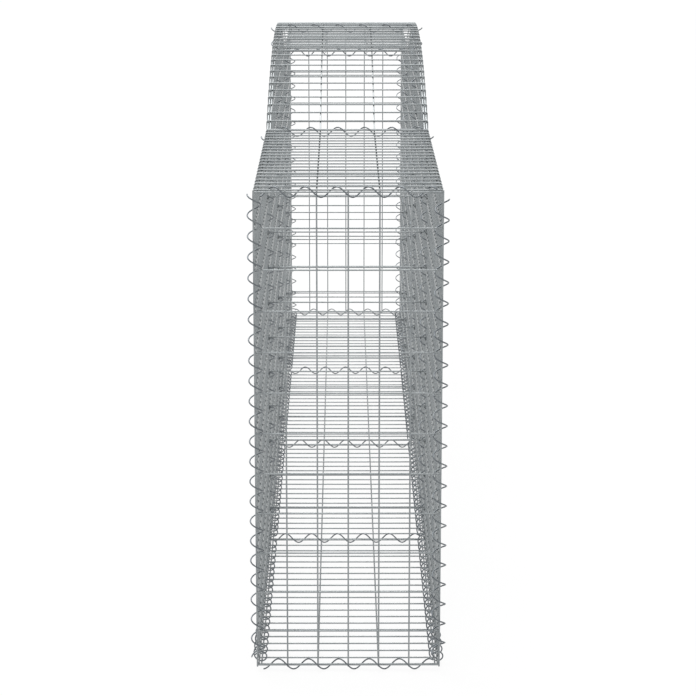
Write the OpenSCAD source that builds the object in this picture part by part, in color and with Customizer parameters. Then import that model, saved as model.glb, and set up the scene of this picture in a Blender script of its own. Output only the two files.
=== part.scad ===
// Arched gabion basket: welded wire mesh panels in four bays, laced together with wire spirals.
// Millimetres, +Z up, length along Y with the front end at -Y, origin on the ground under the middle.

/* [Basket] */
// Length of one bay, from seam to seam
bay_length = 990; // [700:10:1400]
// Width of one cell of the end panels
cell_w = 74; // [60:1:110]
// Height of a regular row of cells
row_pitch = 100; // [80:5:140]
// Height of the lowest and of the highest row of cells
edge_cell = 86; // [70:1:120]
// Number of regular rows
rows = 10; // [6:1:14]
// Rise of the arched lid over the two middle bays
arch_rise = 185; // [120:5:260]

/* [Wire] */
// Diameter of the mesh wire
wire_d = 4; // [3.5:0.1:4.5]
// Diameter of the spiral wire
spiral_wire_d = 3.5; // [3:0.1:4]
// Outer diameter of the spirals up the corners and seams and along the bottom edges
upright_spiral_d = 36; // [34:1:44]
// Outer diameter of the spirals across the floor and the lid
lying_spiral_d = 28; // [27:1:36]

/* [Spirals] */
// Straight steps in one turn of an upright or edge spiral
turn_steps = 4; // [4:4:12]
// Straight steps in one turn of a cross spiral
cross_turn_steps = 6; // [6:2:12]

/* [Output] */
// Piece to draw, or all

/* [Hidden] */

// Zinc of the mesh and the slightly darker zinc of the spirals
mesh_colour = "#9aa1a3";
spiral_colour = "#858c8f";

// Cells across an end panel, and cells along one bay
cells_across = 6;
cells_along = 20;

// A mesh wire is a four-sided bar, laid ridge to ridge, with the section area of the round wire
bar_r = 0.625 * wire_d;
// Centre distance of two crossing wires, sunk into each other by the weld
lap = 2 * bar_r - wire_d / 4;
// Length that a wire runs past the edge wire it is welded to
tail = 0.8 * bar_r;
// Length that the uprights of an end panel run past its top and bottom wire
end_tail = 1.25 * wire_d;
// Length that the uprights of a side panel run past its top and bottom wire
side_tail = 0.4 * wire_d;
// Distance from the plane of an end panel to the first wire of the panels that meet it
end_gap = lap + 2 * bar_r + 0.5;
// Distance from a seam to the edge upright of a side panel
seam_gap = bar_r + 0.5;
// Distance from a seam to the edge wire of a floor or lid panel
sheet_gap = 1.6 * bar_r;
// Distance from the edge wire of a side panel to the cross wires of the floor or lid lying on it
lie = 2 * bar_r + 0.3;

// Spirals: a three-sided wire, and the radii of its middle line
spiral_r = 0.625 * spiral_wire_d;
upright_r = (upright_spiral_d - spiral_wire_d) / 2;
lying_r = (lying_spiral_d - spiral_wire_d) / 2;

half_w = cells_across / 2 * cell_w;
half_l = 2 * bay_length;
floor_z = lying_r + spiral_r;
first_row_z = floor_z + edge_cell;
last_row_z = first_row_z + rows * row_pitch;
shoulder_z = last_row_z + edge_cell;
row_levels = [for (i = [0:rows]) first_row_z + i * row_pitch];
levels = concat([floor_z], row_levels, [shoulder_z]);

// Lengthwise wires of the floor and the lid, at the thirds and at the edges inside the sides
sheet_edge_x = half_w - 2.5 * wire_d;
sheet_xs = [-sheet_edge_x, -half_w / 3, half_w / 3, sheet_edge_x];
sheet_end_x = half_w;

// The arch is a circle through both shoulders and the crown
arch_r = (bay_length * bay_length + arch_rise * arch_rise) / (2 * arch_rise);
arch_cz = shoulder_z + arch_rise - arch_r;
arch_steps = 720;

// Spirals: pitch and axes tied to the mesh they pass through
upright_pitch = row_pitch / 2;
upright_x = half_w - wire_d / 2;
edge_x = half_w - 1.25 * wire_d;
edge_z = upright_r + spiral_r;
end_axis_y = half_l - end_gap / 2;
corner_clear = lying_spiral_d / 2 + spiral_wire_d;

// Where the cross spiral of each seam passes its lowest point under the floor and its highest point
// over the lid, in cells from the middle, clear of the lengthwise wires
floor_phases = [1 / 4, 1 / 6, -1 / 2, -1 / 2, -1 / 4];
lid_phases = [-1 / 3, -1 / 3, -1 / 3, -1 / 3, 1 / 4];

// Cross ties: square wire of the same section, its distance beside the seam and reach of the hooks
tie_half = 0.885 * wire_d / 2;
tie_side = seam_gap + bar_r + 0.5 + tie_half;
tie_lift = bar_r + 0.1;
tie_reach = half_w + bar_r + 0.5 + tie_half;
tie_return = half_w - 1.75 * wire_d;

function seam_y(i) = -half_l + i * bay_length;
function arch_z(y) = arch_cz + sqrt(arch_r * arch_r - y * y);
function arch_angle(y) = asin(y / arch_r);
function is_arched(bay) = bay == 1 || bay == 2;
function bay_start(bay, gap) = bay == 0 ? -half_l + end_gap : seam_y(bay) + gap;
function bay_end(bay, gap) = bay == 3 ? half_l - end_gap : seam_y(bay + 1) - gap;

// Bars along the three axes, each with ridges facing the other two
module bar_x(x0, x1, y, z) {
    translate([x0, y, z])
        rotate([0, 90, 0])
            cylinder(r = bar_r, h = x1 - x0, $fn = 4);
}

module bar_y(x, y0, y1, z) {
    translate([x, y0, z])
        rotate([-90, 0, 0])
            cylinder(r = bar_r, h = y1 - y0, $fn = 4);
}

module bar_z(x, y, z0, z1) {
    translate([x, y, z0])
        cylinder(r = bar_r, h = z1 - z0, $fn = 4);
}

// Bar bent to the arch, at a radius from its centre, between two angles from the crown
module bar_arch(x, radius, a0, a1) {
    translate([x, 0, arch_cz])
        rotate([0, -90, 0])
            rotate([0, 0, a0])
                rotate_extrude(angle = a1 - a0, $fn = arch_steps)
                    translate([radius, 0])
                        circle(r = bar_r, $fn = 4);
}

// Half turn about the upright axis: the left front of the basket becomes its right back
module turned() {
    rotate([0, 0, 180])
        children();
}

// End panel: uprights outside, cross wires inside
module end_panel() {
    for (i = [0:cells_across])
        bar_z(-half_w + i * cell_w, -half_l, floor_z - end_tail, shoulder_z + end_tail);
    for (z = levels)
        bar_x(-half_w - tail, half_w + tail, -half_l + lap, z);
}

// Side panel of one bay on the left: uprights outside, lengthwise wires inside
module side_panel(bay) {
    y0 = bay_start(bay, seam_gap);
    y1 = bay_end(bay, seam_gap);
    step = (y1 - y0) / cells_along;
    row_x = -half_w + lap;
    for (k = [0:cells_along]) {
        y = y0 + k * step;
        top = is_arched(bay) ? arch_z(y) + 0.3 * wire_d : shoulder_z + side_tail;
        bar_z(-half_w, y, floor_z - side_tail, top);
    }
    bar_y(row_x, y0 - tail, y1 + tail, floor_z);
    for (z = row_levels)
        bar_y(row_x, y0 - tail, y1 + tail, z);
    if (is_arched(bay)) {
        bar_arch(row_x, arch_r, arch_angle(y0 - tail), arch_angle(y1 + tail));
        for (z = [last_row_z + row_pitch:row_pitch:shoulder_z + arch_rise - edge_cell / 2])
            arch_row(bay, y0, step, row_x, z);
    } else {
        bar_y(row_x, y0 - tail, y1 + tail, shoulder_z);
    }
}

// Row above the shoulder, from the first upright that reaches it to the crown seam
module arch_row(bay, y0, step, x, z) {
    top = z + 3 * wire_d - arch_cz;
    reach = sqrt(arch_r * arch_r - top * top);
    if (bay == 1) {
        first = ceil((-reach - y0) / step);
        bar_y(x, y0 + first * step - tail, y0 + cells_along * step + tail, z);
    } else {
        last = floor((reach - y0) / step);
        bar_y(x, y0 - tail, y0 + last * step + tail, z);
    }
}

// Floor panel of one bay: cross wires below, lengthwise wires on them
module floor_panel(bay) {
    flat_sheet(bay, floor_z - lie, floor_z - lie + lap);
}

// Flat lid panel of one bay: cross wires above, lengthwise wires under them
module flat_lid(bay) {
    flat_sheet(bay, shoulder_z + lie, shoulder_z + lie - lap);
}

module flat_sheet(bay, cross_z, long_z) {
    y0 = bay_start(bay, sheet_gap);
    y1 = bay_end(bay, sheet_gap);
    step = (y1 - y0) / cells_along;
    for (k = [0:cells_along])
        bar_x(-sheet_end_x, sheet_end_x, y0 + k * step, cross_z);
    for (x = sheet_xs)
        bar_y(x, y0 - tail, y1 + tail, long_z);
}

// Arched lid panel of one bay, bent to the circle of the arch
module arched_lid(bay) {
    a0 = arch_angle(bay_start(bay, sheet_gap));
    a1 = arch_angle(bay_end(bay, sheet_gap));
    a_tail = (tail / arch_r) * 180 / PI;
    step = (a1 - a0) / cells_along;
    cross_r = arch_r + lie;
    for (k = [0:cells_along]) {
        a = a0 + k * step;
        translate([-sheet_end_x, cross_r * sin(a), arch_cz + cross_r * cos(a)])
            rotate([-a, 0, 0])
                rotate([0, 90, 0])
                    cylinder(r = bar_r, h = 2 * sheet_end_x, $fn = 4);
    }
    for (x = sheet_xs)
        bar_arch(x, cross_r - lap, a0 - a_tail, a1 + a_tail);
}

// Cross ties of one seam: a straight wire in every row, hooked round the seam uprights
module cross_ties(seam) {
    for (level = row_levels)
        translate([0, seam_y(seam), level + tie_lift])
            linear_extrude(2 * tie_half)
                polygon(tie_outline());
}

function tie_outline() = [
    [-tie_return, -tie_side - tie_half],
    [-tie_return, -tie_side + tie_half],
    [-tie_reach + tie_half, -tie_side + tie_half],
    [-tie_reach + tie_half, tie_side - tie_half],
    [tie_reach - tie_half, tie_side - tie_half],
    [tie_reach - tie_half, -tie_side + tie_half],
    [tie_return, -tie_side + tie_half],
    [tie_return, -tie_side - tie_half],
    [tie_reach + tie_half, -tie_side - tie_half],
    [tie_reach + tie_half, tie_side + tie_half],
    [-tie_reach - tie_half, tie_side + tie_half],
    [-tie_reach - tie_half, -tie_side - tie_half]
];

// Three-sided wire along a path of points; out gives the outward direction at each point
module spiral_wire(path, out, hand) {
    n = len(path);
    rings = [
        for (k = [0:n - 1])
            let (
                along = path[min(k + 1, n - 1)] - path[max(k - 1, 0)],
                t = along / norm(along),
                flat = out[k] - (out[k] * t) * t,
                e1 = flat / norm(flat),
                e2 = cross(t, e1)
            )
            for (j = [0:2])
                path[k] + spiral_r * (cos(120 * j) * e1 + sin(120 * j) * e2)
    ];
    sides = [
        for (k = [0:n - 2])
            for (j = [0:2])
                let (
                    a = 3 * k + j,
                    b = 3 * k + (j + 1) % 3,
                    left = [[a, a + 3, b + 3], [a, b + 3, b]],
                    right = [[a, a + 3, b], [a + 3, b + 3, b]]
                )
                each (hand < 0 ? left : right)
    ];
    ends = [[0, 1, 2], [3 * n - 1, 3 * n - 2, 3 * n - 3]];
    polyhedron(points = rings, faces = concat(ends, sides));
}

// Straight spiral round an axis: u, v and w are right-handed, with the axis along w.
// A turn passes angle th0 (from u to v) at s0, and the wire keeps between s_min and s_max.
module spiral(c, u, v, w, r, pitch, hand, th0, s0, s_min, s_max, steps) {
    ds = pitch / steps;
    k0 = ceil((s_min - s0) / ds);
    k1 = floor((s_max - s0) / ds);
    angles = [for (k = [k0:k1]) th0 + hand * 360 * k / steps];
    out = [for (a = angles) cos(a) * u + sin(a) * v];
    path = [for (i = [0:k1 - k0]) c + r * out[i] + (s0 + (k0 + i) * ds) * w];
    spiral_wire(path, out, hand);
}

// Upright spiral of the left side, crossing the inward plane at row_offset above every row.
// Its last turn ends at its outermost point, at or just under the top of the mesh.
module upright_spiral(y, top, row_offset) {
    outermost = first_row_z + row_offset + upright_pitch / 2;
    turns = floor((top + wire_d / 2 - outermost) / upright_pitch);
    spiral(
        [-upright_x, y, 0], [1, 0, 0], [0, 1, 0], [0, 0, 1],
        upright_r, upright_pitch, -1, 180, outermost,
        floor_z + corner_clear, outermost + turns * upright_pitch, turn_steps
    );
}

// Spiral across the width, passing angle th0 (from +Y to +Z) at every cell plus x0
module cross_spiral(y, z, th0, x0) {
    spiral(
        [0, y, z], [0, 1, 0], [0, 0, 1], [1, 0, 0],
        lying_r, cell_w, 1, th0, x0,
        -sheet_edge_x + bar_r + spiral_r, sheet_edge_x - bar_r - spiral_r, cross_turn_steps
    );
}

module floor_cross(seam) {
    y = seam == 0 ? -end_axis_y : seam == 4 ? end_axis_y : seam_y(seam);
    cross_spiral(y, floor_z, 270, floor_phases[seam] * cell_w);
}

module lid_cross(seam) {
    y = seam == 0 ? -end_axis_y : seam == 4 ? end_axis_y : seam_y(seam);
    z = seam == 2 ? shoulder_z + arch_rise : shoulder_z;
    cross_spiral(y, z, 90, lid_phases[seam] * cell_w);
}

// Edge spiral of one bay along the bottom on the left, passing under every cross wire of the floor
module edge_spiral(bay) {
    y0 = bay_start(bay, sheet_gap);
    y1 = bay_end(bay, sheet_gap);
    spiral(
        [-edge_x, 0, edge_z], [0, 0, 1], [1, 0, 0], [0, 1, 0],
        upright_r, (y1 - y0) / cells_along, 1, 180, y0,
        y0 + corner_clear, y1 - corner_clear, turn_steps
    );
}

module edge_spirals() {
    for (bay = [0:3])
        edge_spiral(bay);
}

function seam_top(seam) = seam == 2 ? shoulder_z + arch_rise : shoulder_z;

module left_seam(seam) {
    upright_spiral(seam_y(seam), seam_top(seam), -upright_pitch / 20);
}

// Sub-parts
module front_end_panel() { color(mesh_colour) end_panel(); }
module back_end_panel() { color(mesh_colour) turned() end_panel(); }
module left_side_panel_1() { color(mesh_colour) side_panel(0); }
module left_side_panel_2() { color(mesh_colour) side_panel(1); }
module left_side_panel_3() { color(mesh_colour) side_panel(2); }
module left_side_panel_4() { color(mesh_colour) side_panel(3); }
module right_side_panel_1() { color(mesh_colour) turned() side_panel(3); }
module right_side_panel_2() { color(mesh_colour) turned() side_panel(2); }
module right_side_panel_3() { color(mesh_colour) turned() side_panel(1); }
module right_side_panel_4() { color(mesh_colour) turned() side_panel(0); }
module floor_panel_1() { color(mesh_colour) floor_panel(0); }
module floor_panel_2() { color(mesh_colour) floor_panel(1); }
module floor_panel_3() { color(mesh_colour) floor_panel(2); }
module floor_panel_4() { color(mesh_colour) floor_panel(3); }
module lid_panel_1() { color(mesh_colour) flat_lid(0); }
module lid_panel_2() { color(mesh_colour) arched_lid(1); }
module lid_panel_3() { color(mesh_colour) arched_lid(2); }
module lid_panel_4() { color(mesh_colour) flat_lid(3); }
module cross_ties_1() { color(mesh_colour) cross_ties(1); }
module cross_ties_2() { color(mesh_colour) cross_ties(2); }
module cross_ties_3() { color(mesh_colour) cross_ties(3); }
module corner_spiral_front_left() {
    color(spiral_colour) upright_spiral(-end_axis_y, shoulder_z, upright_pitch / 8);
}
module corner_spiral_back_left() {
    color(spiral_colour) upright_spiral(end_axis_y, shoulder_z, upright_pitch * 7 / 8);
}
module corner_spiral_front_right() { color(spiral_colour) turned() corner_spiral_back_left(); }
module corner_spiral_back_right() { color(spiral_colour) turned() corner_spiral_front_left(); }
module left_seam_spiral_1() { color(spiral_colour) left_seam(1); }
module left_seam_spiral_2() { color(spiral_colour) left_seam(2); }
module left_seam_spiral_3() { color(spiral_colour) left_seam(3); }
module right_seam_spiral_1() { color(spiral_colour) turned() left_seam(3); }
module right_seam_spiral_2() { color(spiral_colour) turned() left_seam(2); }
module right_seam_spiral_3() { color(spiral_colour) turned() left_seam(1); }
module floor_cross_spiral_1() { color(spiral_colour) floor_cross(0); }
module floor_cross_spiral_2() { color(spiral_colour) floor_cross(1); }
module floor_cross_spiral_3() { color(spiral_colour) floor_cross(2); }
module floor_cross_spiral_4() { color(spiral_colour) floor_cross(3); }
module floor_cross_spiral_5() { color(spiral_colour) floor_cross(4); }
module lid_cross_spiral_1() { color(spiral_colour) lid_cross(0); }
module lid_cross_spiral_2() { color(spiral_colour) lid_cross(1); }
module lid_cross_spiral_3() { color(spiral_colour) lid_cross(2); }
module lid_cross_spiral_4() { color(spiral_colour) lid_cross(3); }
module lid_cross_spiral_5() { color(spiral_colour) lid_cross(4); }
module left_edge_spirals() { color(spiral_colour) edge_spirals(); }
module right_edge_spirals() { color(spiral_colour) turned() edge_spirals(); }

front_end_panel();
back_end_panel();
left_side_panel_1();
left_side_panel_2();
left_side_panel_3();
left_side_panel_4();
right_side_panel_1();
right_side_panel_2();
right_side_panel_3();
right_side_panel_4();
floor_panel_1();
floor_panel_2();
floor_panel_3();
floor_panel_4();
lid_panel_1();
lid_panel_2();
lid_panel_3();
lid_panel_4();
cross_ties_1();
cross_ties_2();
cross_ties_3();
corner_spiral_front_left();
corner_spiral_front_right();
corner_spiral_back_left();
corner_spiral_back_right();
left_seam_spiral_1();
left_seam_spiral_2();
left_seam_spiral_3();
right_seam_spiral_1();
right_seam_spiral_2();
right_seam_spiral_3();
floor_cross_spiral_1();
floor_cross_spiral_2();
floor_cross_spiral_3();
floor_cross_spiral_4();
floor_cross_spiral_5();
lid_cross_spiral_1();
lid_cross_spiral_2();
lid_cross_spiral_3();
lid_cross_spiral_4();
lid_cross_spiral_5();
left_edge_spirals();
right_edge_spirals();
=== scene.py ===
# Arched gabion basket: round galvanised wires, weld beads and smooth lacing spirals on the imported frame.
# Pieces are modelled in millimetres in the frame's own axes and scaled to metres when they are finished.
import math

import bmesh
import bpy
from mathutils import Matrix, Vector


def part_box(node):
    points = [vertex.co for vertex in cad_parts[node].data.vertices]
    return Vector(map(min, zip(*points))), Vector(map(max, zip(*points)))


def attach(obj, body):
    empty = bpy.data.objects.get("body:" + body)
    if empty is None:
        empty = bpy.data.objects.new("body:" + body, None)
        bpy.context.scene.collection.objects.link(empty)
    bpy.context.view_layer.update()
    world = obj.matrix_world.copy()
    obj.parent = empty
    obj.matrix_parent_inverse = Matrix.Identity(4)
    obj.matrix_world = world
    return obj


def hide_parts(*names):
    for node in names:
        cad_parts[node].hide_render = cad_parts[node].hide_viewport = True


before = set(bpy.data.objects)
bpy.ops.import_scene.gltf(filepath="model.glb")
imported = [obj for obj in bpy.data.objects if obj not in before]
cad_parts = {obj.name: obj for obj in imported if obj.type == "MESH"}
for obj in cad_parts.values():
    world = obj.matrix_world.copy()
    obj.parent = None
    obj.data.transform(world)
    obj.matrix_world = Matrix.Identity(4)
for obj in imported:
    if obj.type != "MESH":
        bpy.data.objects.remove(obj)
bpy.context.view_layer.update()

MM = 0.001


# Sizes of the basket, in millimetres
WIRE_R = 2.0
SPIRAL_WIRE_R = 1.75
WIRE_SIDES = 10
# Between the sides of a wire, 36 degrees apart, and its end chamfers at 45 degrees
SHARP_ANGLE = math.radians(40)
# How far two welded wires are pressed into each other
SET_DOWN = 0.5
WELD_LAP = 2 * WIRE_R - SET_DOWN
WELD_SPREAD = 1.25 * WIRE_R
WELD_THICK = 0.55 * WIRE_R
CUT_CHAMFER = 0.35
WIRE_TAIL = 2.0
END_TAIL = 5.0
SIDE_TAIL = 1.6
# Half the width over corners of the bars that stand for the wires in the solids
BAR_R = 2.5
END_GAP = 9.5
SEAM_GAP = 3.0
SHEET_GAP = 4.0
SEAT_GAP = 0.3
LIE = 2 * WIRE_R + SEAT_GAP
BAYS = 4
CELLS_ACROSS = 6
CELLS_ALONG = 20
ROWS = 10
ROW_PITCH = 100.0
EDGE_CELL = 86.0
ARCH_RISE = 185.0
ARC_STEPS = 36
ROW_CLEAR = 6 * WIRE_R
SHEET_INSET = 10.0
UPRIGHT_INSET = 2.0
UPRIGHT_SPIRAL_R = 16.25
CROSS_SPIRAL_R = 12.25
CROSS_CLEAR = 4.69
EDGE_INSET = 5.0
EDGE_LIFT = 2.19
TURN_STEPS = 24
CORNER_CLEAR = 17.5
TIE_SIDE = 7.77
TIE_LEVEL = 4.37
TIE_OVER = 4.77
TIE_BACK = 7.0
TIE_BEND_R = 4.0
BEND_STEPS = 5
TIE_LEAD = 0.01
JOIN_DIST = 0.01

# Places read from the frame
END_LOW, END_HIGH = (Vector(corner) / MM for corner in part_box("front_end_panel"))
HALF_W = END_HIGH.x - WIRE_TAIL
HALF_L = -END_LOW.y - BAR_R
FLOOR_Z = END_LOW.z + END_TAIL
SHOULDER_Z = END_HIGH.z - END_TAIL
BAY = 2 * HALF_L / BAYS
CELL_W = 2 * HALF_W / CELLS_ACROSS
FIRST_ROW_Z = FLOOR_Z + EDGE_CELL
LAST_ROW_Z = FIRST_ROW_Z + ROWS * ROW_PITCH
ROW_LEVELS = [FIRST_ROW_Z + i * ROW_PITCH for i in range(ROWS + 1)]
ARCH_R = (BAY ** 2 + ARCH_RISE ** 2) / (2 * ARCH_RISE)
ARCH_CENTRE_Z = SHOULDER_Z + ARCH_RISE - ARCH_R
SHEET_EDGE_X = HALF_W - SHEET_INSET
SHEET_XS = [-SHEET_EDGE_X, -HALF_W / 3, HALF_W / 3, SHEET_EDGE_X]
UPRIGHT_X = HALF_W - UPRIGHT_INSET
EDGE_AXIS_X = HALF_W - EDGE_INSET
EDGE_AXIS_Z = UPRIGHT_SPIRAL_R + EDGE_LIFT
END_AXIS_Y = HALF_L - END_GAP / 2
TIE_REACH = HALF_W + TIE_OVER
TIE_RETURN = HALF_W - TIE_BACK
CROSS_REACH = SHEET_EDGE_X - CROSS_CLEAR
SPIRAL_PITCH = ROW_PITCH / 2
# Where the cross spirals pass their lowest point under the floor and their highest over the lid, in cells
FLOOR_PHASES = (1 / 4, 1 / 6, -1 / 2, -1 / 2, -1 / 4)
LID_PHASES = (-1 / 3, -1 / 3, -1 / 3, -1 / 3, 1 / 4)
# How far above a row the upright spirals pass it on the inside, in turns
CORNER_PHASE = 1 / 8
SEAM_PHASE = -1 / 20


def seam_y(seam):
    return -HALF_L + seam * BAY


def bay_ends(bay, gap):
    start = -HALF_L + END_GAP if bay == 0 else seam_y(bay) + gap
    end = HALF_L - END_GAP if bay == BAYS - 1 else seam_y(bay + 1) - gap
    return start, end


def is_arched(bay):
    return bay in (1, 2)


def arch_z(y):
    return ARCH_CENTRE_Z + math.sqrt(ARCH_R ** 2 - y ** 2)


def seam_top(seam):
    return SHOULDER_Z + (ARCH_RISE if seam == 2 else 0)


# Materials
def linear(hex_colour):
    """Linear RGBA of an sRGB hex colour."""
    channels = [int(hex_colour[i:i + 2], 16) / 255 for i in (1, 3, 5)]
    return [c / 12.92 if c <= 0.04045 else ((c + 0.055) / 1.055) ** 2.4 for c in channels] + [1.0]


def add_node(tree, kind, inputs=None, **settings):
    """Adds a node, sets its properties, then sets or links its inputs."""
    node = tree.nodes.new(kind)
    for name, value in settings.items():
        setattr(node, name, value)
    for name, value in (inputs or {}).items():
        if isinstance(value, bpy.types.NodeSocket):
            tree.links.new(value, node.inputs[name])
        else:
            node.inputs[name].default_value = value
    return node


def new_tree(name):
    material = bpy.data.materials.new(name)
    material.use_nodes = True
    material.node_tree.nodes.clear()
    return material, material.node_tree


def galvanised_wire(name, dark, light):
    """Zinc-coated drawn wire: dull grey, mottled by the zinc bath, with a soft broken gloss."""
    material, tree = new_tree(name)
    place = add_node(tree, "ShaderNodeTexCoord").outputs["Object"]
    # Zinc mottling of about 7 mm, and paler and darker stretches of about 90 mm that show from afar
    mottle = add_node(tree, "ShaderNodeTexNoise", {
        "Vector": place, "Scale": 1 / (7 * MM), "Detail": 3.0, "Roughness": 0.6})
    stretch = add_node(tree, "ShaderNodeTexNoise", {
        "Vector": place, "Scale": 1 / (90 * MM), "Detail": 2.0})
    both = add_node(tree, "ShaderNodeMath", {
        0: mottle.outputs["Fac"], 1: stretch.outputs["Fac"]}, operation="ADD")
    share = add_node(tree, "ShaderNodeMapRange", {
        "Value": both.outputs["Value"], "From Min": 0.7, "From Max": 1.3})
    colour = add_node(tree, "ShaderNodeMix", {
        "Factor": share.outputs["Result"], 6: linear(dark), 7: linear(light)}, data_type="RGBA")
    gloss = add_node(tree, "ShaderNodeMapRange", {
        "Value": mottle.outputs["Fac"], "From Min": 0.3, "From Max": 0.7,
        "To Min": 0.1, "To Max": 0.32})
    # Drawing marks and zinc runs of about 1 mm
    runs = add_node(tree, "ShaderNodeTexNoise", {
        "Vector": place, "Scale": 1 / (1.2 * MM), "Detail": 2.0})
    bump = add_node(tree, "ShaderNodeBump", {
        "Height": runs.outputs["Fac"], "Strength": 0.25, "Distance": 0.1 * MM})
    shader = add_node(tree, "ShaderNodeBsdfPrincipled", {
        "Base Color": colour.outputs[2], "Metallic": 1.0,
        "Roughness": gloss.outputs["Result"], "Normal": bump.outputs["Normal"]})
    add_node(tree, "ShaderNodeOutputMaterial", {"Surface": shader.outputs["BSDF"]})
    return material


def burnt_weld(name, dark, light):
    """Resistance weld bead: zinc burnt dull and rough by the welding heat."""
    material, tree = new_tree(name)
    place = add_node(tree, "ShaderNodeTexCoord").outputs["Object"]
    # Oxide specks of about 1.5 mm
    specks = add_node(tree, "ShaderNodeTexNoise", {
        "Vector": place, "Scale": 1 / (1.5 * MM), "Detail": 3.0})
    colour = add_node(tree, "ShaderNodeMix", {
        "Factor": specks.outputs["Fac"], 6: linear(dark), 7: linear(light)}, data_type="RGBA")
    bump = add_node(tree, "ShaderNodeBump", {
        "Height": specks.outputs["Fac"], "Strength": 0.5, "Distance": 0.15 * MM})
    shader = add_node(tree, "ShaderNodeBsdfPrincipled", {
        "Base Color": colour.outputs[2], "Metallic": 0.5, "Roughness": 0.7,
        "Normal": bump.outputs["Normal"]})
    add_node(tree, "ShaderNodeOutputMaterial", {"Surface": shader.outputs["BSDF"]})
    return material


def sheared_steel(name, dark, light):
    """Sheared wire end: bare steel with fine drag lines of the cutter."""
    material, tree = new_tree(name)
    place = add_node(tree, "ShaderNodeTexCoord").outputs["Object"]
    # Drag lines about 0.6 mm apart
    drag = add_node(tree, "ShaderNodeTexWave", {
        "Vector": place, "Scale": 1 / (20 * 0.6 * MM), "Distortion": 2.0})
    colour = add_node(tree, "ShaderNodeMix", {
        "Factor": drag.outputs["Fac"], 6: linear(dark), 7: linear(light)}, data_type="RGBA")
    shader = add_node(tree, "ShaderNodeBsdfPrincipled", {
        "Base Color": colour.outputs[2], "Metallic": 1.0, "Roughness": 0.45})
    add_node(tree, "ShaderNodeOutputMaterial", {"Surface": shader.outputs["BSDF"]})
    return material


MESH_ZINC = galvanised_wire("galvanised mesh wire", "#878c8e", "#9da1a2")
SPIRAL_ZINC = galvanised_wire("galvanised spiral wire", "#60656a", "#797e81")
WELD_ZINC = burnt_weld("burnt weld zinc", "#6a6f70", "#83898a")
CUT_STEEL = sheared_steel("sheared steel end", "#8b8f90", "#b3b6b6")
# Material slots of the pieces: the wire itself, its cut ends, and the welds of the mesh panels
CUT = 1
WELD = 2


# Wire shapes
def set_on(bm, verts, copies, step):
    """Repeats a finished shape in a straight row."""
    edges = {edge for vert in verts for edge in vert.link_edges}
    faces = {face for vert in verts for face in vert.link_faces}
    bmesh.ops.spin(
        bm, geom=[*verts, *edges, *faces], cent=(0, 0, 0), axis=(0, 0, 1), dvec=step, angle=0,
        steps=copies, use_duplicate=True)


def straight_wire(bm, start, end, copies=0, step=(0, 0, 0)):
    """Round wire between two points, and copies of it set on by a step."""
    start, end = Vector(start), Vector(end)
    turn = (end - start).to_track_quat("Z", "Y").to_matrix().to_4x4()
    made = bmesh.ops.create_cone(
        bm, cap_ends=True, segments=WIRE_SIDES, radius1=WIRE_R, radius2=WIRE_R,
        depth=(end - start).length, matrix=Matrix.Translation((start + end) / 2) @ turn)
    if copies:
        set_on(bm, made["verts"], copies, step)


def wire_start(bm, centre, along):
    """Round section at the start of a bent wire, facing along its way."""
    turn = Vector(along).to_track_quat("Z", "Y").to_matrix().to_4x4()
    made = bmesh.ops.create_circle(
        bm, cap_ends=True, segments=WIRE_SIDES, radius=WIRE_R, matrix=Matrix.Translation(centre) @ turn)
    return list({face for vert in made["verts"] for face in vert.link_faces})


def run_on(bm, section, step):
    """Extrudes the end section straight on by a step."""
    made = bmesh.ops.extrude_face_region(bm, geom=section)["geom"]
    verts = [item for item in made if isinstance(item, bmesh.types.BMVert)]
    bmesh.ops.translate(bm, verts=verts, vec=step)
    return [item for item in made if isinstance(item, bmesh.types.BMFace)]


def bend_on(bm, section, centre, axis, angle, steps):
    """Sweeps the end section round an axis."""
    made = bmesh.ops.spin(bm, geom=section, cent=centre, axis=axis, angle=angle, steps=steps)
    return [item for item in made["geom_last"] if isinstance(item, bmesh.types.BMFace)]


def spiral_wire(bm, centre, u, v, w, radius, pitch, hand, th0, s0, s_min, s_max):
    """Helix round an axis along w that passes angle th0 (degrees, from u to v) at s0."""
    u, v, w = Vector(u), Vector(v), Vector(w)
    th = math.radians(th0) + hand * math.tau * (s_min - s0) / pitch
    out = math.cos(th) * u + math.sin(th) * v
    round_way = hand * (math.cos(th) * v - math.sin(th) * u)
    turn = (round_way * math.tau * radius + w * pitch).to_track_quat("Z", "Y").to_matrix().to_4x4()
    start = Matrix.Translation(Vector(centre) + out * radius + w * s_min) @ turn
    # One whole turn, repeated, and then what is left of a turn
    whole, part = divmod((s_max - s_min) / pitch, 1)
    for rise, share, copies in ((0, 1, int(whole) - 1), (whole * pitch, part, 0)):
        before = set(bm.verts)
        ring = bmesh.ops.create_circle(
            bm, segments=WIRE_SIDES, radius=SPIRAL_WIRE_R, matrix=Matrix.Translation(w * rise) @ start)
        edges = {edge for vert in ring["verts"] for edge in vert.link_edges}
        steps = max(1, round(share * TURN_STEPS))
        bmesh.ops.spin(
            bm, geom=[*ring["verts"], *edges], cent=centre, axis=w, angle=hand * math.tau * share,
            steps=steps, dvec=w * (share * pitch / steps))
        if copies:
            set_on(bm, [vert for vert in bm.verts if vert not in before], copies, w * pitch)
    bmesh.ops.remove_doubles(bm, verts=bm.verts, dist=JOIN_DIST)
    bmesh.ops.holes_fill(bm, edges=bm.edges, sides=WIRE_SIDES)


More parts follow.
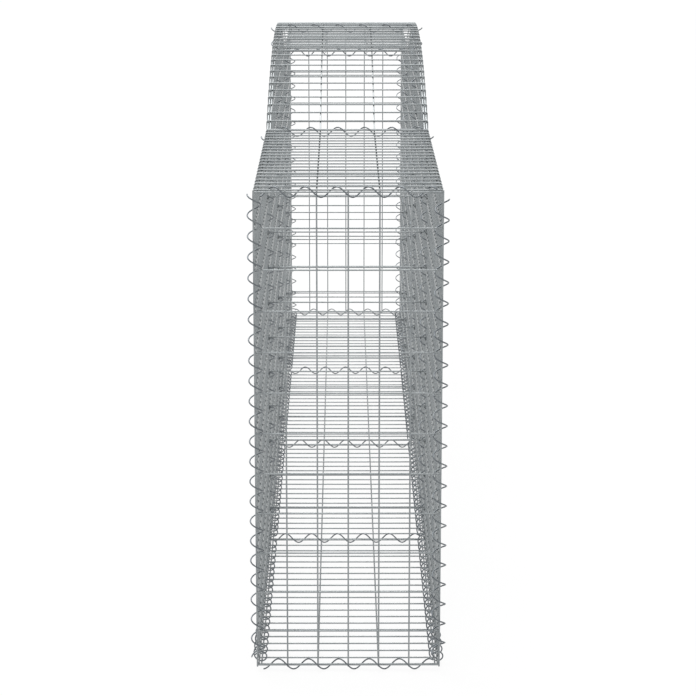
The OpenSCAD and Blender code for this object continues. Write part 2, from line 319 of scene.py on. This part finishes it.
def weld_row(bm, across, start, copies=0, step=(0, 0, 0)):
    """Flattened beads squeezed out where two wires are welded; across is the mesh's normal axis."""
    size = [WELD_SPREAD] * 3
    size["xyz".index(across)] = WELD_THICK
    matrix = Matrix.Translation(start) @ Matrix.Diagonal((*size, 1.0))
    made = bmesh.ops.create_uvsphere(bm, u_segments=6, v_segments=4, radius=1.0, matrix=matrix)
    for face in {face for vert in made["verts"] for face in vert.link_faces}:
        face.material_index = WELD
    if copies:
        set_on(bm, made["verts"], copies, step)


def finish_piece(name, bm, materials, node):
    """Chamfers the cut ends and turns a bmesh in millimetres into a piece that stands for a CAD node."""
    cuts = [face for face in bm.faces if len(face.verts) > 4]
    for face in cuts:
        face.material_index = CUT
    rims = list({edge for face in cuts for edge in face.edges})
    bmesh.ops.bevel(
        bm, geom=rims, offset=CUT_CHAMFER, affect="EDGES", segments=1, profile=0.5, material=-1)
    bmesh.ops.recalc_face_normals(bm, faces=bm.faces)
    bmesh.ops.scale(bm, vec=(MM, MM, MM), verts=bm.verts)
    mesh = bpy.data.meshes.new(name)
    bm.to_mesh(mesh)
    bm.free()
    mesh.shade_smooth()
    mesh.set_sharp_from_angle(angle=SHARP_ANGLE)
    for material in materials:
        mesh.materials.append(material)
    piece = bpy.data.objects.new(name, mesh)
    bpy.context.scene.collection.objects.link(piece)
    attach(piece, "root")
    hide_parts(node)


def finish_mesh(name, bm, node):
    finish_piece(name, bm, [MESH_ZINC, CUT_STEEL, WELD_ZINC], node)


def finish_spirals(name, bm, node):
    finish_piece(name, bm, [SPIRAL_ZINC, CUT_STEEL], node)


# Mesh panels
def end_panel(name, node, side):
    """End panel with uprights outside; side is -1 at the front and 1 at the back."""
    bm = bmesh.new()
    upright_y = side * HALF_L
    row_y = side * (HALF_L - WELD_LAP)
    weld_y = (upright_y + row_y) / 2
    across = (CELL_W, 0, 0)
    straight_wire(
        bm, (-HALF_W, upright_y, FLOOR_Z - END_TAIL), (-HALF_W, upright_y, SHOULDER_Z + END_TAIL),
        CELLS_ACROSS, across)
    for z in (FLOOR_Z, *ROW_LEVELS, SHOULDER_Z):
        straight_wire(bm, (-HALF_W - WIRE_TAIL, row_y, z), (HALF_W + WIRE_TAIL, row_y, z))
        weld_row(bm, "y", (-HALF_W, weld_y, z), CELLS_ACROSS, across)
    finish_mesh(name, bm, node)


def arch_wire(bm, x, radius, y0, y1):
    """Lengthwise wire bent to the arch, between two lengths along it."""
    centre = (x, 0, ARCH_CENTRE_Z)
    a0, a1 = (math.asin(y / ARCH_R) for y in (y0, y1))
    start = Vector((x, radius * math.sin(a0), ARCH_CENTRE_Z + radius * math.cos(a0)))
    along = (0, math.cos(a0), -math.sin(a0))
    section = wire_start(bm, start, along)
    bend_on(bm, section, centre, (1, 0, 0), a0 - a1, ARC_STEPS)


def side_panel(name, node, bay, side):
    """Side panel of one bay; side is -1 on the left and 1 on the right."""
    bm = bmesh.new()
    y0, y1 = bay_ends(bay, SEAM_GAP)
    step = (y1 - y0) / CELLS_ALONG
    ys = [y0 + k * step for k in range(CELLS_ALONG + 1)]
    upright_x = side * HALF_W
    row_x = side * (HALF_W - WELD_LAP)
    weld_x = (upright_x + row_x) / 2
    rows = [(z, ys) for z in (FLOOR_Z, *ROW_LEVELS)]
    if is_arched(bay):
        arch_wire(bm, row_x, ARCH_R, y0 - WIRE_TAIL, y1 + WIRE_TAIL)
        for y in ys:
            straight_wire(
                bm, (upright_x, y, FLOOR_Z - SIDE_TAIL), (upright_x, y, arch_z(y) + SIDE_TAIL))
            weld_row(bm, "x", (weld_x, y, arch_z(y)))
        z = LAST_ROW_Z + ROW_PITCH
        while z < SHOULDER_Z + ARCH_RISE - EDGE_CELL / 2:
            rows.append((z, [y for y in ys if arch_z(y) > z + ROW_CLEAR]))
            z += ROW_PITCH
    else:
        straight_wire(
            bm, (upright_x, y0, FLOOR_Z - SIDE_TAIL), (upright_x, y0, SHOULDER_Z + SIDE_TAIL),
            CELLS_ALONG, (0, step, 0))
        rows.append((SHOULDER_Z, ys))
    for z, reached in rows:
        straight_wire(bm, (row_x, reached[0] - WIRE_TAIL, z), (row_x, reached[-1] + WIRE_TAIL, z))
        weld_row(bm, "x", (weld_x, reached[0], z), len(reached) - 1, (0, step, 0))
    finish_mesh(name, bm, node)


def flat_sheet(name, node, bay, cross_z, long_z):
    """Floor or flat lid panel of one bay."""
    bm = bmesh.new()
    y0, y1 = bay_ends(bay, SHEET_GAP)
    on = (0, (y1 - y0) / CELLS_ALONG, 0)
    straight_wire(bm, (-HALF_W, y0, cross_z), (HALF_W, y0, cross_z), CELLS_ALONG, on)
    for x in SHEET_XS:
        straight_wire(bm, (x, y0 - WIRE_TAIL, long_z), (x, y1 + WIRE_TAIL, long_z))
        weld_row(bm, "z", (x, y0, (cross_z + long_z) / 2), CELLS_ALONG, on)
    finish_mesh(name, bm, node)


def arched_lid(name, node, bay):
    """Lid panel of one bay, bent to the arch."""
    bm = bmesh.new()
    y0, y1 = bay_ends(bay, SHEET_GAP)
    a0, a1 = (math.asin(y / ARCH_R) for y in (y0, y1))
    cross_r = ARCH_R + LIE
    for k in range(CELLS_ALONG + 1):
        a = a0 + k * (a1 - a0) / CELLS_ALONG
        out = Vector((0, math.sin(a), math.cos(a)))
        place = Vector((0, 0, ARCH_CENTRE_Z)) + out * cross_r
        reach = Vector((HALF_W, 0, 0))
        straight_wire(bm, place - reach, place + reach)
        for x in SHEET_XS:
            weld_row(bm, "z", place - out * WELD_LAP / 2 + Vector((x, 0, 0)))
    for x in SHEET_XS:
        arch_wire(bm, x, cross_r - WELD_LAP, y0 - WIRE_TAIL, y1 + WIRE_TAIL)
    finish_mesh(name, bm, node)


def cross_ties(name, node, seam):
    """Straight tie wires of one seam, each bent round the seam uprights at both ends."""
    bm = bmesh.new()
    y = seam_y(seam)
    quarter = math.pi / 2
    bend_x = TIE_REACH - TIE_BEND_R
    bend_y = TIE_SIDE - TIE_BEND_R
    for level in ROW_LEVELS:
        z = level + TIE_LEVEL
        section = wire_start(bm, (-TIE_RETURN, y - TIE_SIDE, z), (-1, 0, 0))
        section = run_on(bm, section, (TIE_RETURN - bend_x, 0, 0))
        section = bend_on(bm, section, (-bend_x, y - bend_y, z), (0, 0, 1), -quarter, BEND_STEPS)
        section = run_on(bm, section, (0, 2 * bend_y, 0))
        section = bend_on(bm, section, (-bend_x, y + bend_y, z), (0, 0, 1), -quarter, BEND_STEPS)
        # Short runs beside the bends keep the shading of the long straight one even
        for share in (TIE_LEAD, 1 - 2 * TIE_LEAD, TIE_LEAD):
            section = run_on(bm, section, (2 * bend_x * share, 0, 0))
        section = bend_on(bm, section, (bend_x, y + bend_y, z), (0, 0, 1), -quarter, BEND_STEPS)
        section = run_on(bm, section, (0, -2 * bend_y, 0))
        section = bend_on(bm, section, (bend_x, y - bend_y, z), (0, 0, 1), -quarter, BEND_STEPS)
        run_on(bm, section, (TIE_RETURN - bend_x, 0, 0))
    finish_piece(name, bm, [MESH_ZINC, CUT_STEEL], node)


# Lacing spirals
def upright_spiral(name, node, side, y, top, row_offset):
    """Left-handed spiral up a corner or seam, up to the outermost point of its last turn under the top."""
    bm = bmesh.new()
    outermost = FIRST_ROW_Z + row_offset + SPIRAL_PITCH / 2
    turns = (top + WIRE_R - outermost) // SPIRAL_PITCH
    spiral_wire(
        bm, (side * UPRIGHT_X, y, 0), (side, 0, 0), (0, side, 0), (0, 0, 1), UPRIGHT_SPIRAL_R,
        SPIRAL_PITCH, -1, 0, outermost, FLOOR_Z + CORNER_CLEAR, outermost + turns * SPIRAL_PITCH)
    finish_spirals(name, bm, node)


def cross_spiral(name, node, y, z, th0, x0):
    """Right-handed spiral across the width, passing angle th0 (from +Y to +Z) at every cell plus x0."""
    bm = bmesh.new()
    spiral_wire(
        bm, (0, y, z), (0, 1, 0), (0, 0, 1), (1, 0, 0), CROSS_SPIRAL_R, CELL_W, 1, th0, x0,
        -CROSS_REACH, CROSS_REACH)
    finish_spirals(name, bm, node)


def edge_spirals(name, node, side):
    """Right-handed spirals along a bottom edge, one length for each bay."""
    bm = bmesh.new()
    for bay in range(BAYS):
        y0, y1 = bay_ends(bay, SHEET_GAP)
        spiral_wire(
            bm, (side * EDGE_AXIS_X, 0, EDGE_AXIS_Z), (0, 0, 1), (1, 0, 0), (0, 1, 0),
            UPRIGHT_SPIRAL_R, (y1 - y0) / CELLS_ALONG, 1, 180, y0, y0 + CORNER_CLEAR, y1 - CORNER_CLEAR)
    finish_spirals(name, bm, node)


# The basket
end_panel("front_end_mesh", "front_end_panel", -1)
end_panel("back_end_mesh", "back_end_panel", 1)
for bay in range(BAYS):
    number = bay + 1
    for word, side in (("left", -1), ("right", 1)):
        side_panel(f"{word}_side_mesh_{number}", f"{word}_side_panel_{number}", bay, side)
    flat_sheet(
        f"floor_mesh_{number}", f"floor_panel_{number}", bay, FLOOR_Z - LIE, FLOOR_Z - LIE + WELD_LAP)
    if is_arched(bay):
        arched_lid(f"lid_mesh_{number}", f"lid_panel_{number}", bay)
    else:
        flat_sheet(
            f"lid_mesh_{number}", f"lid_panel_{number}", bay, SHOULDER_Z + LIE,
            SHOULDER_Z + LIE - WELD_LAP)
for seam in range(1, BAYS):
    cross_ties(f"tie_wires_{seam}", f"cross_ties_{seam}", seam)

for word, side in (("left", -1), ("right", 1)):
    for end, end_side in (("front", -1), ("back", 1)):
        phase = CORNER_PHASE if side == end_side else 1 - CORNER_PHASE
        upright_spiral(
            f"{end}_{word}_corner_lacing", f"corner_spiral_{end}_{word}", side, end_side * END_AXIS_Y,
            SHOULDER_Z, phase * SPIRAL_PITCH)
    for seam in range(1, BAYS):
        upright_spiral(
            f"{word}_seam_lacing_{seam}", f"{word}_seam_spiral_{seam}", side, seam_y(seam),
            seam_top(seam), SEAM_PHASE * SPIRAL_PITCH)
    edge_spirals(f"{word}_edge_lacing", f"{word}_edge_spirals", side)
for seam in range(BAYS + 1):
    number = seam + 1
    y = {0: -END_AXIS_Y, BAYS: END_AXIS_Y}.get(seam, seam_y(seam))
    cross_spiral(
        f"floor_seam_lacing_{number}", f"floor_cross_spiral_{number}", y, FLOOR_Z, 270,
        FLOOR_PHASES[seam] * CELL_W)
    cross_spiral(
        f"lid_seam_lacing_{number}", f"lid_cross_spiral_{number}", y, seam_top(seam), 90,
        LID_PHASES[seam] * CELL_W)


# Floor, light and camera, in metres and degrees
FLOOR_SIZE = 400.0
FLOOR_FRONT = 2.6
FLOOR_WHITE = 0.9
WHITE = "#ffffff"
AMBIENT = 0.75
KEY_ENERGY = 1.8
KEY_SPREAD = 50
KEY_TURN = (-36, -15, 0)
LENS_MM = 119.95
SENSOR_MM = 36.0
EYE_PLACE = (-0.0133, -7.3295, 2.0987)
EYE_TURN = (90 - 13.516, 0, -0.136)


def seen_directly(tree):
    """1 where the camera looks, straight or by way of metal or glass, and 0 for other light."""
    path = add_node(tree, "ShaderNodeLightPath").outputs
    mirrored = add_node(tree, "ShaderNodeMath", {
        0: path["Is Glossy Ray"], 1: path["Is Transmission Ray"]}, operation="MAXIMUM")
    seen = add_node(tree, "ShaderNodeMath", {
        0: path["Is Camera Ray"], 1: mirrored.outputs["Value"]}, operation="MAXIMUM")
    return seen.outputs["Value"]


def studio_floor():
    """Pale floor, white also in the metal, with a faint shadow; it starts just in front of the basket."""
    material, tree = new_tree("pale studio floor")
    matt = add_node(tree, "ShaderNodeBsdfDiffuse", {"Color": linear(WHITE)})
    white = add_node(tree, "ShaderNodeEmission", {"Color": linear(WHITE)})
    share = add_node(tree, "ShaderNodeMath", {
        0: seen_directly(tree), 1: FLOOR_WHITE}, operation="MULTIPLY")
    mix = add_node(tree, "ShaderNodeMixShader", {
        0: share.outputs["Value"], 1: matt.outputs["BSDF"], 2: white.outputs["Emission"]})
    add_node(tree, "ShaderNodeOutputMaterial", {"Surface": mix.outputs["Shader"]})
    bm = bmesh.new()
    bmesh.ops.create_grid(
        bm, x_segments=1, y_segments=1, size=FLOOR_SIZE / 2,
        matrix=Matrix.Translation((0, FLOOR_SIZE / 2 - FLOOR_FRONT, 0)))
    mesh = bpy.data.meshes.new("studio_floor")
    bm.to_mesh(mesh)
    bm.free()
    mesh.materials.append(material)
    floor = bpy.data.objects.new("studio_floor", mesh)
    bpy.context.scene.collection.objects.link(floor)


def studio_world():
    """White surround, also in the metal, with a plain level of light."""
    world = bpy.data.worlds.new("white studio")
    world.use_nodes = True
    tree = world.node_tree
    tree.nodes.clear()
    strength = add_node(tree, "ShaderNodeMath", {
        0: seen_directly(tree), 1: AMBIENT}, operation="MAXIMUM")
    back = add_node(tree, "ShaderNodeBackground", {
        "Color": linear(WHITE), "Strength": strength.outputs["Value"]})
    add_node(tree, "ShaderNodeOutputWorld", {"Surface": back.outputs["Background"]})
    bpy.context.scene.world = world


def studio_lamp():
    """One broad soft light from above, from behind and a little from the left."""
    lamp = bpy.data.lights.new("soft key", "SUN")
    lamp.energy = KEY_ENERGY
    lamp.angle = math.radians(KEY_SPREAD)
    key = bpy.data.objects.new("soft key", lamp)
    key.rotation_euler = [math.radians(a) for a in KEY_TURN]
    bpy.context.scene.collection.objects.link(key)


def photo_camera():
    """Long lens in front of the near end, a little above the basket and tipped down."""
    camera = bpy.data.cameras.new("camera")
    camera.lens = LENS_MM
    camera.sensor_width = SENSOR_MM
    eye = bpy.data.objects.new("camera", camera)
    eye.location = EYE_PLACE
    eye.rotation_euler = [math.radians(a) for a in EYE_TURN]
    bpy.context.scene.collection.objects.link(eye)
    bpy.context.scene.camera = eye


studio_floor()
studio_world()
studio_lamp()
photo_camera()
bpy.context.scene.view_settings.view_transform = "Standard"
